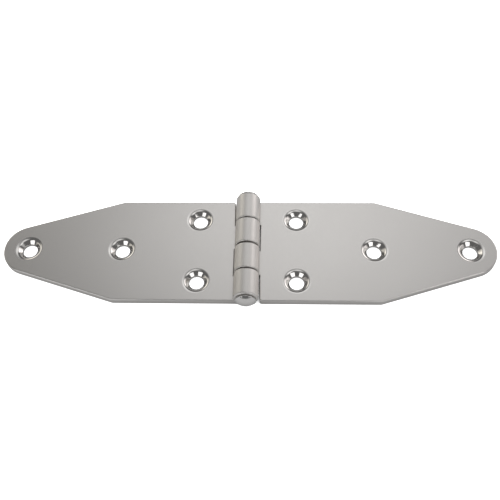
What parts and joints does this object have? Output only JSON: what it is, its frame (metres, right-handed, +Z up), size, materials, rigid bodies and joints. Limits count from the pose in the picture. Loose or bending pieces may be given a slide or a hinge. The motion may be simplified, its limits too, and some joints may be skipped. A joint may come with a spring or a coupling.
{
  "type": "strap hinge",
  "caption": "Flat strap hinge with two tapered round-nosed leaves, rolled knuckles, countersunk screw holes and a round-head pin.",
  "frame": {"origin": "on the flat mounting plane, under the middle of the barrel", "axes": "+X along the leaves towards the right leaf's nose, +Y along the pin towards the back, +Z up from the mounting plane"},
  "size_m": [0.2, 0.0518, 0.01],
  "materials": {
    "leaf_steel": "satin",
    "pin_steel": "polished"
  },
  "bodies": {
    "left_leaf": {"left_leaf": "leaf_steel"},
    "right_leaf": {"right_leaf": "leaf_steel"},
    "pin": {"hinge_pin": "pin_steel"}
  },
  "joints": [
    {"name": "leaf_fold", "type": "hinge", "parent": "left_leaf", "child": "right_leaf", "pos_m": [0, 0, 0.005], "axis": [0, -1, 0], "range_deg": [-90, 180]},
    {"name": "pin_spin", "type": "hinge", "parent": "left_leaf", "child": "pin", "pos_m": [0, 0, 0.005], "axis": [0, -1, 0], "continuous": true}
  ]
}
